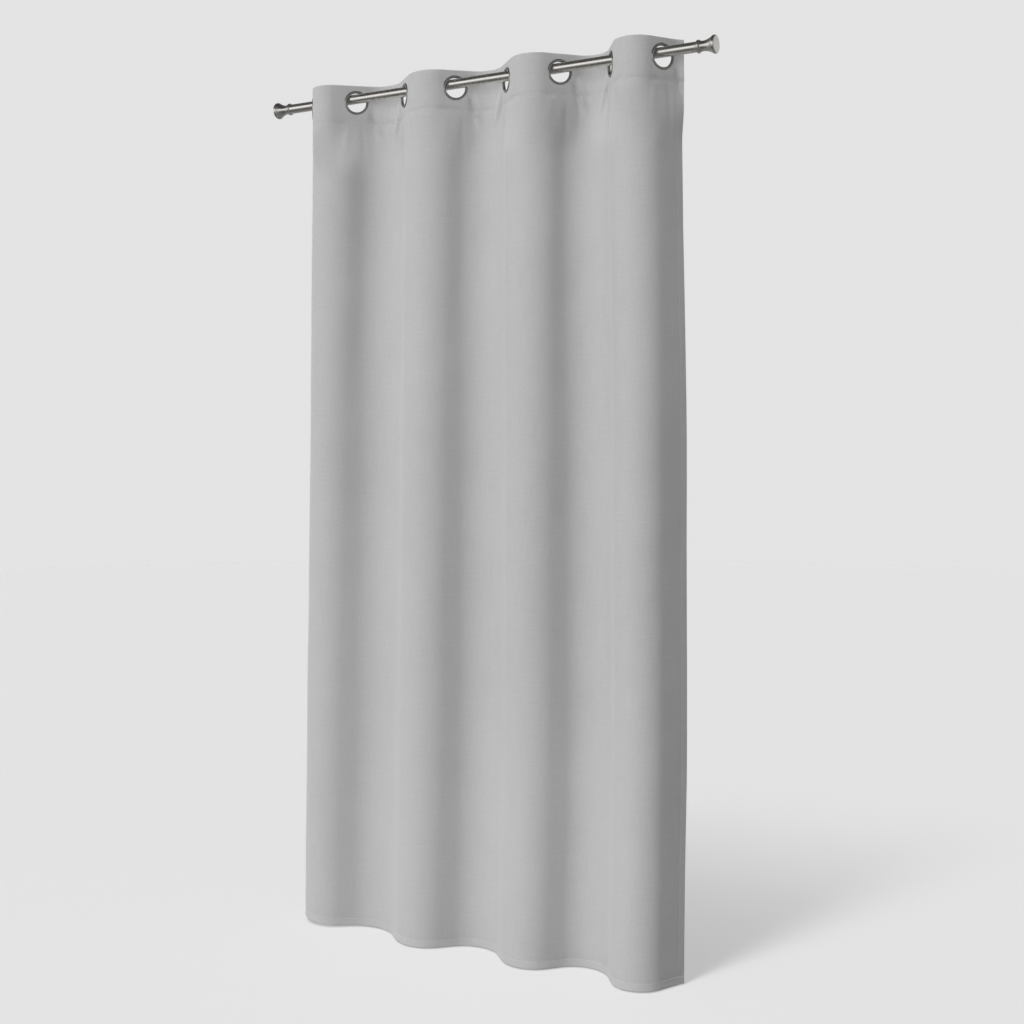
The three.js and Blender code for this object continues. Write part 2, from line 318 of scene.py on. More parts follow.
def plan_places(direction):
    """Middle of the cloth seen from above, x and y, found by walking along it without stretch."""
    step = np.diff(COLUMNS)[:, None]
    middle = (direction[1:] + direction[:-1]) / 2
    x = np.zeros_like(direction)
    y = np.zeros_like(direction)
    x[1:] = np.cumsum(step * np.cos(middle), axis=0)
    y[1:] = np.cumsum(step * np.sin(middle), axis=0)
    first = EYELET_COLUMNS[0]
    x += FIRST_EYELET[0] + HEM_SHIFT[0] * FALLEN - x[first]
    y += FIRST_EYELET[1] + HEM_SHIFT[1] * FALLEN - y[first]
    return x, y


def soft_unevenness():
    """Slight waves all over the hanging cloth: wide ones, narrow ones and tall ones."""
    wide = 0.45 * MM * value_noise(0.075, 0.16, 5)
    narrow = 0.22 * MM * value_noise(0.03, 0.05, 6)
    tall = 0.9 * MM * value_noise(0.10, 0.9, 7) * smooth(BELOW / 0.3)
    return wide + narrow + tall


def drag_lines():
    """Creases that the cloth's weight draws down from each eyelet."""
    drag = np.zeros_like(S)
    for k, s in enumerate(EYELET_S):
        back = 1 if k % 2 else -1  # towards the fold that lies at the wall
        for (near, high), (far, low), width, depth in DRAG_LINES:
            drag += crease((s + back * near, high), (s + back * far, low), width, depth)
    return drag


def seam_puckers():
    """How far the cloth is drawn away from the room along its rows of stitches."""
    seam = np.zeros_like(S)
    pucker = 0.40 * MM - 0.35 * MM * value_noise(0.008, 0.02, 8)
    for row in SEAM_ROWS:
        seam += pucker * np.exp(-(((V - row) / 0.007) ** 2))
    side_pucker = 0.30 * MM - 0.25 * MM * value_noise(0.02, 0.010, 9)
    for column in SEAM_COLUMNS:
        seam += side_pucker * np.exp(-(((S - column) / 0.005) ** 2)) * smooth(BELOW / 0.02)
    return seam


def wrinkles():
    """How far the cloth stands off its smooth folds, away from the rings that hold it flat."""
    free = smooth((NEAR_EYELET - GRIP_RADIUS) / 0.02)
    return free * (soft_unevenness() + drag_lines() + seam_puckers())


def layer_depths():
    """Front and back faces of the cloth, thicker where it is turned and sewn, and rounded at its edges."""
    back = np.full_like(S, BACK)
    turned = (S < SIDE_HEM) | (S > FLAT_WIDTH - SIDE_HEM) | (V > DROP - HEM_DEPTH)
    back[turned] = HEM_BACK
    back[V < HEADING_DEPTH] = HEADING_BACK
    edge = np.min([S, FLAT_WIDTH - S, V, DROP - V], axis=0)
    inner = 1 - np.clip(edge / EDGE_ROUND, 0, 1)
    share = np.maximum(EDGE_SHARE, np.sqrt(1 - inner**2))
    middle, half = (back + FRONT) / 2, (back - FRONT) / 2
    return middle - half * share, middle + half * share


def cloth_faces():
    """Points of the cloth's front and back faces over the whole grid."""
    direction = plan_directions()
    x, y = plan_places(direction)
    lift = CORNER_LIFT * np.clip(1 - S / LIFT_REACH, 0, 1) ** 2 * np.clip(BELOW / DROP, 0, 1)
    z = TOP_Z - V + lift
    bumps = wrinkles()
    faces = []
    for depth in layer_depths():
        reach = depth + bumps
        faces.append(np.stack([x - reach * np.sin(direction), y + reach * np.cos(direction), z], axis=-1))
    return faces


def grid_normals(points):
    """Unit normals of a grid of points, towards the wall side."""
    across = np.gradient(points, axis=0)
    down = np.gradient(points, axis=1)
    normal = np.cross(across, down)
    return normal / np.linalg.norm(normal, axis=-1, keepdims=True)


def open_eyelets(face):
    """Moves the grid points around each eyelet onto the edge of the round hole."""
    moved = face.copy()
    inside, outside = HOLE_BAND
    near = (NEAR_EYELET > CLOTH_HOLE - inside * FINE_CELL) & (NEAR_EYELET < CLOTH_HOLE + outside * FINE_CELL)
    for i, j in zip(*np.nonzero(near)):
        k = nearest(EYELET_S, COLUMNS[i])
        centre = face[EYELET_COLUMNS[k], EYELET_ROW]
        centre = centre + np.array([0, 0, EYELET_Z - centre[2]])
        moved[i, j] = centre + (face[i, j] - centre) * (CLOTH_HOLE / NEAR_EYELET[i, j])
    return moved


def hole_cells():
    """Grid cells that lie in an eyelet's hole."""
    s = (S[1:, 1:] + S[:-1, :-1]) / 2
    v = (V[1:, 1:] + V[:-1, :-1]) / 2
    away = np.min([np.hypot(s - e, v - EYELET_DROP) for e in EYELET_S], axis=0)
    return away < CLOTH_HOLE


FRONT_FACE, BACK_FACE = cloth_faces()
FRONT_NORMALS, BACK_NORMALS = -grid_normals(FRONT_FACE), grid_normals(BACK_FACE)
FRONT_OPEN, BACK_OPEN = open_eyelets(FRONT_FACE), open_eyelets(BACK_FACE)
CELLS_CUT = hole_cells()


def strip_faces(first, last):
    """Quads of the cloth between two grid columns: front, back, and the walls along every edge."""
    rows = len(ROWS)
    count = rows * (last - first + 1)
    i, j = np.nonzero(~CELLS_CUT[first:last])
    corner = i * rows + j
    front = np.stack([corner, corner + 1, corner + rows + 1, corner + rows], axis=1)
    back = front[:, ::-1] + count
    edges = {(int(q[e]), int(q[(e + 1) % 4])) for q in front for e in range(4)}
    walls = [(b, a, a + count, b + count) for a, b in sorted(edges) if (b, a) not in edges]
    return np.concatenate([front, back, np.array(walls)])


def strip_points(first, last, *grids):
    """Grid values between two columns, one row for each point, grid after grid."""
    return np.concatenate([grid[first : last + 1].reshape(-1, grid.shape[-1]) for grid in grids])


def strip_mesh(name, first, last):
    """Closed mesh of the cloth between two grid columns, with a map of its flat place in metres."""
    points = strip_points(first, last, FRONT_OPEN, BACK_OPEN)
    normals = strip_points(first, last, FRONT_NORMALS, BACK_NORMALS)
    place = np.stack([S, DROP - V], axis=-1)
    flat = strip_points(first, last, place, place + (2.0, 0.0))  # the back's map lies beside the front's
    used, faces = np.unique(strip_faces(first, last), return_inverse=True)
    faces = faces.reshape(-1, 4)
    mesh = bpy.data.meshes.new(name)
    mesh.from_pydata(points[used].tolist(), [], faces.tolist())
    mesh.polygons.foreach_set("use_smooth", [True] * len(mesh.polygons))
    uv = mesh.uv_layers.new(name="flat")
    uv.data.foreach_set("uv", flat[used][faces.ravel()].ravel())
    mesh.update()
    mesh.normals_split_custom_set_from_vertices(normals[used].tolist())
    return mesh


# ---------------------------------------------------------------- materials

def new_material(name, **inputs):
    """A Principled material with constant inputs set on the shader itself."""
    material = bpy.data.materials.new(name)
    material.use_nodes = True
    shader = material.node_tree.nodes["Principled BSDF"]
    for key, value in inputs.items():
        shader.inputs[key.replace("_", " ")].default_value = value
    return material, material.node_tree, shader


def node(tree, kind, **settings):
    """A new node with those properties."""
    made = tree.nodes.new(kind)
    for key, value in settings.items():
        setattr(made, key, value)
    return made


def scaled(tree, vector, scale):
    """The place times a scale, so that noise has that many features per metre along each axis."""
    made = node(tree, "ShaderNodeMapping")
    made.inputs["Scale"].default_value = scale
    tree.links.new(vector, made.inputs["Vector"])
    return made.outputs["Vector"]


def noise(tree, vector, scale, detail=2.0, roughness=0.5):
    """Noise from 0 to 1, mostly between 0.3 and 0.7."""
    made = node(tree, "ShaderNodeTexNoise")
    made.inputs["Scale"].default_value = 1.0
    made.inputs["Detail"].default_value = detail
    made.inputs["Roughness"].default_value = roughness
    tree.links.new(scaled(tree, vector, scale), made.inputs["Vector"])
    return made.outputs["Fac"]


def math_node(tree, operation, a, b=None):
    """A math operation on one or two inputs, each of them a number or another node's output."""
    made = node(tree, "ShaderNodeMath", operation=operation)
    for socket, value in zip(made.inputs, (a, b)):
        if isinstance(value, (int, float)):
            socket.default_value = value
        elif value is not None:
            tree.links.new(value, socket)
    return made.outputs[0]


def spread_to(tree, value, low, high):
    """A noise value from 0.3 to 0.7 mapped to low to high."""
    made = node(tree, "ShaderNodeMapRange")
    for key, number in (("From Min", 0.3), ("From Max", 0.7), ("To Min", low), ("To Max", high)):
        made.inputs[key].default_value = number
    tree.links.new(value, made.inputs["Value"])
    return made.outputs["Result"]


def bump(tree, height, strength, distance, normal=None):
    """Normal of a surface with that height, on top of another bump if one is given."""
    made = node(tree, "ShaderNodeBump")
    made.inputs["Strength"].default_value = strength
    made.inputs["Distance"].default_value = distance
    tree.links.new(height, made.inputs["Height"])
    if normal is not None:
        tree.links.new(normal, made.inputs["Normal"])
    return made.outputs["Normal"]


def tinted(tree, colour, factor):
    """The colour times a varying factor."""
    made = node(tree, "ShaderNodeMix", data_type="RGBA", blend_type="MULTIPLY")
    made.inputs["Factor"].default_value = 1.0
    made.inputs["A"].default_value = (*colour, 1)
    shade = node(tree, "ShaderNodeCombineColor")
    for channel in ("Red", "Green", "Blue"):
        tree.links.new(factor, shade.inputs[channel])
    tree.links.new(shade.outputs["Color"], made.inputs["B"])
    return made.outputs["Result"]


def fabric_material(name, colour, thread):
    """Plain weave of that thread spacing, with slubs along both threads, a fine mottle and soft clouds."""
    material, tree, shader = new_material(
        name, Specular_IOR_Level=0.25, Sheen_Weight=0.15, Sheen_Roughness=0.5)
    place = node(tree, "ShaderNodeUVMap", uv_map="flat").outputs["UV"]
    waves = math.pi / thread  # half a wave for each thread
    split = node(tree, "ShaderNodeSeparateXYZ")
    tree.links.new(scaled(tree, place, (waves, waves, 1)), split.inputs["Vector"])
    over = math_node(
        tree, "MULTIPLY",
        math_node(tree, "SINE", split.outputs["X"]),
        math_node(tree, "SINE", split.outputs["Y"]),
    )
    warp_slub = noise(tree, place, (900, 14, 1), 2)
    weft_slub = noise(tree, place, (16, 800, 1), 2)
    mottle = noise(tree, place, (160, 160, 1), 3, 0.6)
    clouds = noise(tree, place, (7, 5, 1), 3)
    grain = math_node(tree, "ADD", warp_slub, weft_slub)
    factor = math_node(
        tree, "MULTIPLY",
        spread_to(tree, math_node(tree, "MULTIPLY", grain, 0.5), 0.93, 1.07),
        spread_to(tree, mottle, 0.965, 1.035),
    )
    factor = math_node(tree, "MULTIPLY", factor, spread_to(tree, clouds, 0.985, 1.015))
    tree.links.new(tinted(tree, colour, factor), shader.inputs["Base Color"])
    tree.links.new(spread_to(tree, mottle, 0.82, 0.95), shader.inputs["Roughness"])
    threads = bump(tree, over, 0.35, 0.12 * MM)
    tree.links.new(bump(tree, grain, 0.25, 0.25 * MM, threads), shader.inputs["Normal"])
    return material


def brushed_material(name, colour, roughness, grain):
    """Satin metal with fine scratches: grain is how closely they lie along each axis, per metre."""
    material, tree, shader = new_material(name, Metallic=1.0)
    place = node(tree, "ShaderNodeTexCoord").outputs["Object"]
    scratches = noise(tree, place, grain, 2)
    smudges = noise(tree, place, (40, 40, 40), 3)
    shade = spread_to(tree, scratches, 0.94, 1.05)
    tree.links.new(tinted(tree, colour, shade), shader.inputs["Base Color"])
    mixed = math_node(
        tree, "ADD",
        math_node(tree, "MULTIPLY", scratches, 0.5),
        math_node(tree, "MULTIPLY", smudges, 0.5),
    )
    gloss = spread_to(tree, mixed, roughness - 0.06, roughness + 0.08)
    tree.links.new(gloss, shader.inputs["Roughness"])
    tree.links.new(bump(tree, scratches, 0.15, 0.05 * MM), shader.inputs["Normal"])
    return material


def moulded_material(name, colour):
    """Plastic with the fine grain of its mould."""
    material, tree, shader = new_material(name, Specular_IOR_Level=0.4)
    place = node(tree, "ShaderNodeTexCoord").outputs["Object"]
    texture = noise(tree, place, (1800, 1800, 1800), 2)
    shade = spread_to(tree, texture, 0.85, 1.15)
    tree.links.new(tinted(tree, colour, shade), shader.inputs["Base Color"])
    tree.links.new(spread_to(tree, texture, 0.5, 0.65), shader.inputs["Roughness"])
    tree.links.new(bump(tree, texture, 0.3, 0.05 * MM), shader.inputs["Normal"])
    return material


CLOTH = fabric_material("curtain_cloth", (0.42, 0.42, 0.42), 0.55 * MM)
THREAD = fabric_material("sewing_thread", (0.62, 0.62, 0.62), 0.25 * MM)
ROD_METAL = brushed_material("brushed_rod", (0.76, 0.74, 0.70), 0.24, (12, 1600, 1600))
TURNED_METAL = brushed_material("turned_metal", (0.62, 0.605, 0.575), 0.22, (2400, 60, 60))
RING_METAL = brushed_material("ring_metal", (0.34, 0.33, 0.32), 0.20, (300, 300, 300))
PLATED_STEEL = brushed_material("plated_steel", (0.55, 0.56, 0.58), 0.38, (500, 500, 500))
BLACK_PLASTIC = moulded_material("bush_plastic", (0.03, 0.03, 0.03))


# ---------------------------------------------------------------- building blocks

def add_object(name, mesh, material):
    """A new piece of the visual model, with its material."""
    piece = bpy.data.objects.new(name, mesh)
    bpy.context.scene.collection.objects.link(piece)
    mesh.materials.append(material)
    return piece


def ring_of(radius, z, steps):
    """Points of a level circle."""
    turns = (2 * math.pi * step / steps for step in range(steps))
    return [(radius * math.cos(turn), radius * math.sin(turn), z) for turn in turns]


def lathe(name, profile, steps, place, material):
    """A turned piece: profile is a closed line of (radius, height), and place carries its +Z axis there."""
    verts, faces, rings = [], [], []
    for radius, height in profile:
        if radius == 0:
            rings.append([len(verts)] * steps)
            verts.append((0, 0, height))
            continue
        rings.append(list(range(len(verts), len(verts) + steps)))
        verts += ring_of(radius, height, steps)
    for here, there in zip(rings, rings[1:] + rings[:1]):
        for step in range(steps):
            nxt = (step + 1) % steps
            face = list(dict.fromkeys((here[step], here[nxt], there[nxt], there[step])))
            if len(face) > 2:
                faces.append(face)
    mesh = bpy.data.meshes.new(name)
    mesh.from_pydata(verts, [], faces)
    mesh.transform(place)
    mesh.polygons.foreach_set("use_smooth", [True] * len(mesh.polygons))
    mesh.set_sharp_from_angle(angle=math.radians(SHARP_EDGE))
    mesh.update()
    return add_object(name, mesh, material)


def arc(centre, radius, start, end, steps):
    """Points of (radius, height) round an arc, from one angle to another in degrees."""
    return [
        (centre[0] + radius * math.cos(math.radians(a)), centre[1] + radius * math.sin(math.radians(a)))
        for a in np.linspace(start, end, steps + 1)
    ]


# ---------------------------------------------------------------- panel


def bend_with_fold(piece):
    """Bakes the piece's placement into its mesh; it does not make the piece bend with the flanks."""
    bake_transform(piece)


def strip_columns(k):
    """First and last grid column of the k-th strip: from eyelet to eyelet, or on to the side edge."""
    first = 0 if k == 0 else EYELET_COLUMNS[k]
    last = len(COLUMNS) - 1 if k == EYELETS - 2 else EYELET_COLUMNS[k + 1]
    return first, last


def add_strip(k):
    """Cloth across the k-th fold, in place of the flank before it, or of both at the last fold."""
    first, last = strip_columns(k)
    name = f"panel_fold_{k + 1}"
    strip = add_object(name, strip_mesh(name, first, last), CLOTH)
    bend_with_fold(strip)
    covered = [k + 1, k + 2] if k == EYELETS - 2 else [k + 1]
    for label in covered:
        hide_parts(f"face_fabric_{label}", f"heading_stiffener_{label}")
    return strip


def ring_place(k):
    """Carries a lathe's +Z axis to the wall side of the k-th eyelet."""
    turn = TURNS[k] * math.radians(HEADING_ANGLES[k])
    front = FRONT_FACE[EYELET_COLUMNS[k], EYELET_ROW, :2]
    x, y = front - FRONT * np.array([-math.sin(turn), math.cos(turn)])
    return (
        Matrix.Translation((x, y, EYELET_Z))
        @ Matrix.Rotation(turn, 4, "Z")
        @ Matrix.Rotation(-math.pi / 2, 4, "X")
    )


def front_ring_profile():
    """Rounded lip on the room side, and the barrel that passes through the cloth."""
    seat = FRONT - FIT_GAP
    inner, outer = arc((0, 0), 1, 8, 90, 6), arc((0, 0), 1, 75, 15, 5)
    return [
        (HOLE_RADIUS, BORE_REACH),
        (HOLE_RADIUS, seat),
        *((LIP_CROWN - LIP_INNER * out, seat - LIP_HEIGHT * up) for out, up in inner),
        *((LIP_CROWN + LIP_OUTER * out, seat - LIP_HEIGHT * up) for out, up in outer),
        (RING_RADIUS, seat - LIP_RIM),
        (RING_RADIUS, seat),
        (BARREL_RADIUS, seat),
        (BARREL_RADIUS, BARREL_REACH),
        (BARREL_TIP, BARREL_REACH),
    ]


def back_ring_profile():
    """Domed ring on the wall side, with a flat crown and a straight bore round the barrel."""
    seat = HEADING_BACK + FIT_GAP
    half = (RING_RADIUS - SNAP_BORE) / 2
    dome = arc((SNAP_BORE + half, seat + SNAP_LIFT), half, 10, 170, 9)
    profile = [(SNAP_BORE, seat), (RING_RADIUS, seat), *dome]
    return [(max(radius, SNAP_BORE), min(height, seat + SNAP_HEIGHT)) for radius, height in profile]


def add_rings(k):
    """Front and back ring of the k-th eyelet."""
    place = ring_place(k)
    pair = []
    for side, profile in (("front", front_ring_profile()), ("back", back_ring_profile())):
        ring = lathe(f"ring_{side}_{k + 1}", profile, RING_STEPS, place, RING_METAL)
        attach(ring, f"flank_{k + 1}")
        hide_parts(f"eyelet_{k + 1}_{side}_ring")
        ring.visible_shadow = False  # the key light would draw hard lines on the cloth
        pair.append(ring)
    return pair


# ---------------------------------------------------------------- stitching

STITCH_LENGTH = 2.8 * MM
STITCH_STEP = 3.5 * MM
THREAD_RADIUS = 0.28 * MM
THREAD_SIDES = 5
TIP_STEP = 0.01 * MM  # how far ahead the thread's direction is looked up
# Rings along a stitch: share of its length, height above the cloth and radius, in thread radii
STITCH_RINGS = [(0.0, -0.9, 0.35), (0.15, 0.1, 0.9), (0.5, 0.7, 1.0), (0.85, 0.1, 0.9), (1.0, -0.9, 0.35)]


def surface_at(face, normals, s, v):
    """Point and outward normal of a face of the cloth at flat places s, v."""
    i = np.clip(np.searchsorted(COLUMNS, s) - 1, 0, len(COLUMNS) - 2)
    j = np.clip(np.searchsorted(ROWS, v) - 1, 0, len(ROWS) - 2)
    p = ((s - COLUMNS[i]) / (COLUMNS[i + 1] - COLUMNS[i]))[:, None]
    q = ((v - ROWS[j]) / (ROWS[j + 1] - ROWS[j]))[:, None]

    def mixed(grid):
        near = grid[i, j] * (1 - p) + grid[i + 1, j] * p
        far = grid[i, j + 1] * (1 - p) + grid[i + 1, j + 1] * p
        return near * (1 - q) + far * q

    normal = mixed(normals)
    return mixed(face), normal / np.linalg.norm(normal, axis=1, keepdims=True)


def stitch_rows(first, last):
    """Start and end of every stitch between two grid columns, as flat places."""
    low, high = COLUMNS[first], COLUMNS[last]
    starts, ends = [], []
    across = np.arange(STITCH_STEP, FLAT_WIDTH - STITCH_LENGTH, STITCH_STEP)
    across = across[(across > low) & (across + STITCH_LENGTH < high)]
    for row in SEAM_ROWS:
        starts += [(s, row) for s in across]
        ends += [(s + STITCH_LENGTH, row) for s in across]
    down = np.arange(HEADING_DEPTH + STITCH_STEP, DROP - HEM_DEPTH - STITCH_STEP, STITCH_STEP)
    for column in SEAM_COLUMNS:
        if low <= column <= high:
            starts += [(column, v) for v in down]
            ends += [(column, v + STITCH_LENGTH) for v in down]
    return np.array(starts), np.array(ends)


def stitch_points(starts, ends, face, normals):
    """Points of every stitch on one face of the cloth, as (stitch, ring and side, xyz)."""
    points = []
    ahead = TIP_STEP * (ends - starts) / STITCH_LENGTH
    for share, rise, radius in STITCH_RINGS:
        flat = starts + (ends - starts) * share
        point, normal = surface_at(face, normals, *flat.T)
        tip, _ = surface_at(face, normals, *(flat + ahead).T)
        along = (tip - point) / np.linalg.norm(tip - point, axis=1, keepdims=True)
        beside = np.cross(normal, along)
        for side in range(THREAD_SIDES):
            turn = 2 * math.pi * side / THREAD_SIDES
            up = rise + radius * math.cos(turn)
            out = radius * math.sin(turn)
            points.append(point + THREAD_RADIUS * (normal * up + beside * out))
    return np.stack(points, axis=1)


def stitch_faces(base):
    """Faces of one stitch whose points start at base: its sides and both ends."""
    sides = range(THREAD_SIDES)
    faces = []
    for ring in range(len(STITCH_RINGS) - 1):
        low = base + ring * THREAD_SIDES
        high = low + THREAD_SIDES
        for side in sides:
            nxt = (side + 1) % THREAD_SIDES
            faces.append((low + side, high + side, high + nxt, low + nxt))
    end = base + THREAD_SIDES * (len(STITCH_RINGS) - 1)
    return faces + [[base + side for side in sides], [end + side for side in reversed(sides)]]


def stitch_mesh(name, first, last):
    """Every stitch as a short thread that dips into the cloth at both ends, on both faces."""
    starts, ends = stitch_rows(first, last)
    layers = ((FRONT_FACE, FRONT_NORMALS), (BACK_FACE, BACK_NORMALS))
    blocks = np.concatenate([stitch_points(starts, ends, *layer) for layer in layers])
    verts = blocks.reshape(-1, 3)
    faces = [face for n in range(len(blocks)) for face in stitch_faces(n * blocks.shape[1])]
    mesh = bpy.data.meshes.new(name)
    mesh.from_pydata(verts.tolist(), [], faces)
    mesh.polygons.foreach_set("use_smooth", [True] * len(mesh.polygons))
    uv = mesh.uv_layers.new(name="flat")
    corners = np.zeros(len(mesh.loops), np.int32)
    mesh.loops.foreach_get("vertex_index", corners)
    uv.data.foreach_set("uv", verts[corners][:, [0, 2]].ravel())
    mesh.update()
    return mesh


def add_stitching(k):
    """The sewn rows on the k-th strip."""
    name = f"stitching_{k + 1}"
    piece = add_object(name, stitch_mesh(name, *strip_columns(k)), THREAD)
    bend_with_fold(piece)
    return piece


rings = [add_rings(k) for k in range(EYELETS)]
for k in range(EYELETS - 1):
    strip = add_strip(k)
    stitching = add_stitching(k)


# ---------------------------------------------------------------- rod and finials

LEFT_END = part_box("rod_tube_left")[0].x
RIGHT_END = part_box("rod_tube_right")[1].x


def along_x(x, outward):
    """Carries a lathe's +Z axis to run along the rod from x, outwards to one side."""
    return Matrix.Translation((x, 0, 0)) @ Matrix.Rotation(outward * math.pi / 2, 4, "Y")


def add_tube(name, cad, outer, wall, material):
    """A tube that takes the place of a CAD tube."""
    low, high = (corner.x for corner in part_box(cad))
    length = high - low
    inner = outer - wall
    profile = [
        (inner, 0),
        (outer - ROD_BEVEL, 0),
        (outer, ROD_BEVEL),
        (outer, length - ROD_BEVEL),
        (outer - ROD_BEVEL, length),
        (inner, length),
    ]
    piece = lathe(name, profile, TURNED_STEPS, along_x(low, 1), material)
    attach(piece, "rod")
    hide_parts(cad)
    piece.visible_shadow = False  # the key light would draw hard lines on the cloth
    return piece


def head_profile(length):
    """Trumpet-shaped finial from its neck to its flat end face, with the hole for its screw."""
    rise, run = HEAD_RADIUS - NECK_RADIUS, length - FLARE_START - FLARE_END
    flare = [
        (NECK_RADIUS + rise * t**FLARE_POWER, FLARE_START + run * t)
        for t in np.linspace(0, 1, 19)
    ]
    return [
        (SCREW_HOLE, 0),
        *arc((NECK_RADIUS + NECK_FOOT - NECK_ROUND, NECK_ROUND), NECK_ROUND, -90, 0, 4),
        (NECK_RADIUS, NECK_START),
        *flare,
        *arc((HEAD_RADIUS - HEAD_ROUND, length - HEAD_ROUND - FACE_PROUD), HEAD_ROUND, 15, 80, 8),
        (FACE_RADIUS, length),
        (0, length),
        (0, SCREW_DEPTH),
        (SCREW_HOLE, SCREW_DEPTH),
    ]


def collar_profile():
    """Rounded bead between the rod and the finial."""
    middle = (FIT_GAP + COLLAR_LENGTH) / 2
    half = middle - FIT_GAP
    bead = [
        (COLLAR_FOOT + COLLAR_BEAD * out, middle + half * up)
        for out, up in arc((0, 0), 1, -90, 90, 16)
    ]
    return [(COLLAR_BORE, FIT_GAP), *bead, (COLLAR_BORE, COLLAR_LENGTH)]


def dress(cad_name, material):
    """Gives a CAD node that stays in view its own material."""
    mesh = frame["nodes"][cad_name].data
    mesh.materials.clear()
    mesh.materials.append(material)


def add_finial(side, end, outward):
    """Turned head and collar, and the finish of the screw and bush behind them."""
    body = f"finial_{side}"
    low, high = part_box(f"{body}_head")
    head_start = low.x if outward > 0 else high.x
    turned = (
        ("head", head_profile(high.x - low.x), head_start),
        ("collar", collar_profile(), end),
    )
    for part, profile, start in turned:
        place = along_x(start, outward)
        piece = lathe(f"{side}_finial_{part}", profile, TURNED_STEPS, place, TURNED_METAL)
        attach(piece, body)
        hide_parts(f"{body}_{part}")
    dress(f"{body}_screw", PLATED_STEEL)
    dress(f"{body}_bush", BLACK_PLASTIC)


add_tube("rod_left", "rod_tube_left", ROD_RADIUS, ROD_WALL, ROD_METAL)
add_tube("rod_right", "rod_tube_right", ROD_RADIUS, ROD_WALL, ROD_METAL)
add_tube("joiner", "rod_joiner", JOINER_RADIUS, JOINER_WALL, PLATED_STEEL)
add_finial("left", LEFT_END, -1)
add_finial("right", RIGHT_END, 1)


# ---------------------------------------------------------------- floor and backdrop

FLOOR_GAP = 0.003
FLOOR_Z = cad_box[0].z - FLOOR_GAP
FLOOR_RADIUS = 14
FLOOR_GLOW = 0.478
FLOOR_COLOUR = 0.178
BACKDROP_RADIUS = 13.8
BACKDROP_BELOW = 3
BACKDROP_ABOVE = 30
BACKDROP_LIGHT = 0.772
STAGE_STEPS = 64


def stage_piece(name, verts, faces):
    """A piece of the studio that only the camera sees, so it adds no light to the object."""
    mesh = bpy.data.meshes.new(name)
    mesh.from_pydata(verts, [], faces)
    piece = bpy.data.objects.new(name, mesh)
    bpy.context.scene.collection.objects.link(piece)
    piece.visible_glossy = False
    piece.visible_diffuse = False
    return piece


def stage_material(name):
    """An empty node material with its output."""
    material = bpy.data.materials.new(name)
    material.use_nodes = True
    tree = material.node_tree
    tree.nodes.clear()
    return material, tree, node(tree, "ShaderNodeOutputMaterial").inputs["Surface"]


def glow(tree, strength):
    """White light of that strength from the surface itself."""
    made = node(tree, "ShaderNodeEmission")
    made.inputs["Color"].default_value = (1, 1, 1, 1)
    made.inputs["Strength"].default_value = strength
    return made.outputs[0]


def add_floor():
    """Matt pale floor that glows enough to merge with the backdrop where no shadow falls."""
    floor = stage_piece("floor", ring_of(FLOOR_RADIUS, FLOOR_Z, STAGE_STEPS), [tuple(range(STAGE_STEPS))])
    material, tree, surface = stage_material("floor")
    matt = node(tree, "ShaderNodeBsdfDiffuse")
    matt.inputs["Color"].default_value = (FLOOR_COLOUR, FLOOR_COLOUR, FLOOR_COLOUR, 1)
    both = node(tree, "ShaderNodeAddShader")
    tree.links.new(glow(tree, FLOOR_GLOW), both.inputs[0])
    tree.links.new(matt.outputs[0], both.inputs[1])
    tree.links.new(both.outputs[0], surface)
    floor.data.materials.append(material)


def add_backdrop():
    """Wide pale wall all round, closed at the top."""
    low, high = FLOOR_Z - BACKDROP_BELOW, FLOOR_Z + BACKDROP_ABOVE
    circles = [ring_of(BACKDROP_RADIUS, z, STAGE_STEPS) for z in (low, high)]
    verts = circles[0] + circles[1] + [(0, 0, high)]
    faces = []
    for k in range(STAGE_STEPS):
        nxt = (k + 1) % STAGE_STEPS
        faces.append((k, nxt, STAGE_STEPS + nxt, STAGE_STEPS + k))
        faces.append((STAGE_STEPS + k, STAGE_STEPS + nxt, 2 * STAGE_STEPS))
    wall = stage_piece("backdrop", verts, faces)
    wall.visible_shadow = False
    wall.visible_transmission = False
    material, tree, surface = stage_material("backdrop")
    tree.links.new(glow(tree, BACKDROP_LIGHT), surface)
    wall.data.materials.append(material)


# ---------------------------------------------------------------- light

KEY_AZIMUTH = math.radians(-12)
KEY_SOFTNESS = math.radians(10)
KEY_PARTS = [(50, 0.76), (57, 1.28), (65, 1.32), (72, 1.00), (80, 0.66)]  # elevation, strength

# Brightness of the room as (height, level), with height from 0, straight down, to 1, straight up
SIDE_LIGHT = [(0.0, 0.18), (0.35, 0.38), (0.55, 0.60), (0.72, 0.24), (1.0, 0.06)]
FRONT_LIGHT = [
    (0.0, 0.06), (0.24, 0.12), (0.38, 0.50), (0.49, 1.2),
    (0.64, 1.2), (0.71, 0.25), (0.80, 0.06), (1.0, 0.05),
]
BACK_LIGHT = [(0.0, 0.10), (0.35, 0.40), (0.50, 0.70), (0.65, 0.70), (0.80, 0.10), (1.0, 0.05)]
FRONT_SIDE = (-0.62, -0.78, 0)  # where the front light comes from
BACK_SIDE = (0.37, 0.93, 0)  # where the back light comes from


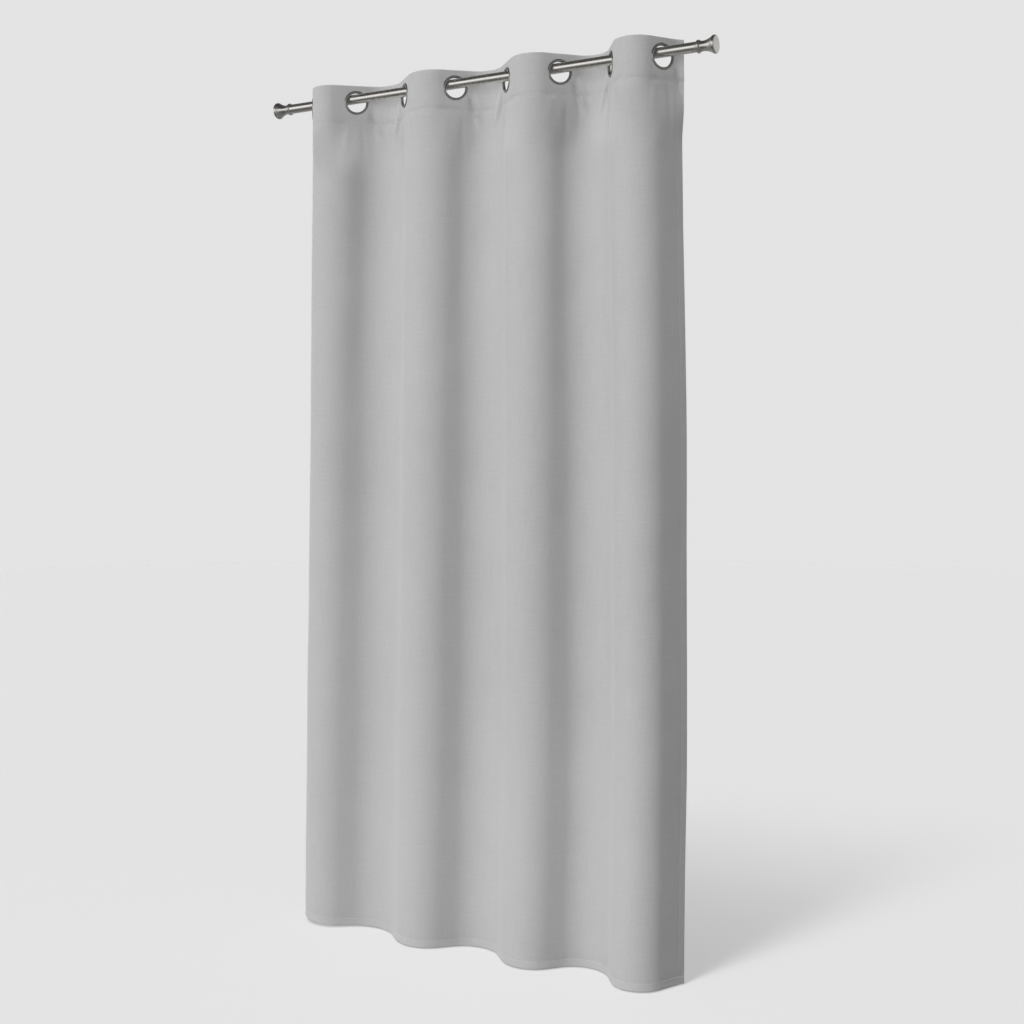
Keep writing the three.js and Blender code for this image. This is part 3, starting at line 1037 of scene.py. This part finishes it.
def add_key_light():
    """Tall, narrow soft light high in front, a little to the left, built from parts one above another."""
    for n, (height, strength) in enumerate(KEY_PARTS):
        data = bpy.data.lights.new(f"key_{n + 1}", "SUN")
        data.energy = strength
        data.angle = KEY_SOFTNESS
        key = bpy.data.objects.new(f"key_{n + 1}", data)
        elevation = math.radians(height)
        towards = Vector((
            math.sin(KEY_AZIMUTH) * math.cos(elevation),
            -math.cos(KEY_AZIMUTH) * math.cos(elevation),
            math.sin(elevation),
        ))
        key.rotation_euler = towards.to_track_quat("Z", "Y").to_euler()
        key.visible_glossy = False
        bpy.context.scene.collection.objects.link(key)


def ramp(tree, value, stops):
    """Grey level that follows the stops as the value goes from 0 to 1."""
    made = node(tree, "ShaderNodeValToRGB")
    elements = made.color_ramp.elements
    while len(elements) > 1:
        elements.remove(elements[-1])
    for n, (place, level) in enumerate(stops):
        element = elements[0] if n == 0 else elements.new(place)
        element.position = place
        element.color = (level, level, level, 1)
    tree.links.new(value, made.inputs["Fac"])
    return made.outputs["Color"]


def towards_side(tree, direction, side, low, high):
    """Rises from 0 to 1 as the direction turns towards a side of the room."""
    made = node(tree, "ShaderNodeVectorMath", operation="DOT_PRODUCT")
    tree.links.new(direction, made.inputs[0])
    made.inputs[1].default_value = side
    rise = node(tree, "ShaderNodeMapRange", interpolation_type="SMOOTHSTEP")
    rise.inputs["From Min"].default_value = low
    rise.inputs["From Max"].default_value = high
    tree.links.new(made.outputs["Value"], rise.inputs["Value"])
    return rise.outputs["Result"]


def mixed_by(tree, factor, a, b):
    """Colour a where the factor is 0, and b where it is 1."""
    made = node(tree, "ShaderNodeMix", data_type="RGBA")
    for key, value in (("Factor", factor), ("A", a), ("B", b)):
        tree.links.new(value, made.inputs[key])
    return made.outputs["Result"]


def add_studio():
    """Room light: bright at the front left, soft at the back right and the other sides, dark above."""
    world = bpy.data.worlds.new("studio")
    bpy.context.scene.world = world
    world.use_nodes = True
    tree = world.node_tree
    direction = node(tree, "ShaderNodeTexCoord").outputs["Generated"]
    split = node(tree, "ShaderNodeSeparateXYZ")
    tree.links.new(direction, split.inputs["Vector"])
    height = math_node(tree, "MULTIPLY_ADD", split.outputs["Z"], 0.5)
    height.node.inputs[2].default_value = 0.5
    side, front, back = (ramp(tree, height, stops) for stops in (SIDE_LIGHT, FRONT_LIGHT, BACK_LIGHT))
    left_front = towards_side(tree, direction, FRONT_SIDE, 0.25, 0.70)
    right_back = towards_side(tree, direction, BACK_SIDE, 0.60, 0.90)
    colour = mixed_by(tree, right_back, mixed_by(tree, left_front, side, front), back)
    tree.links.new(colour, tree.nodes["Background"].inputs["Color"])


add_floor()
add_backdrop()
add_key_light()
add_studio()
bpy.context.scene.view_settings.view_transform = "Standard"
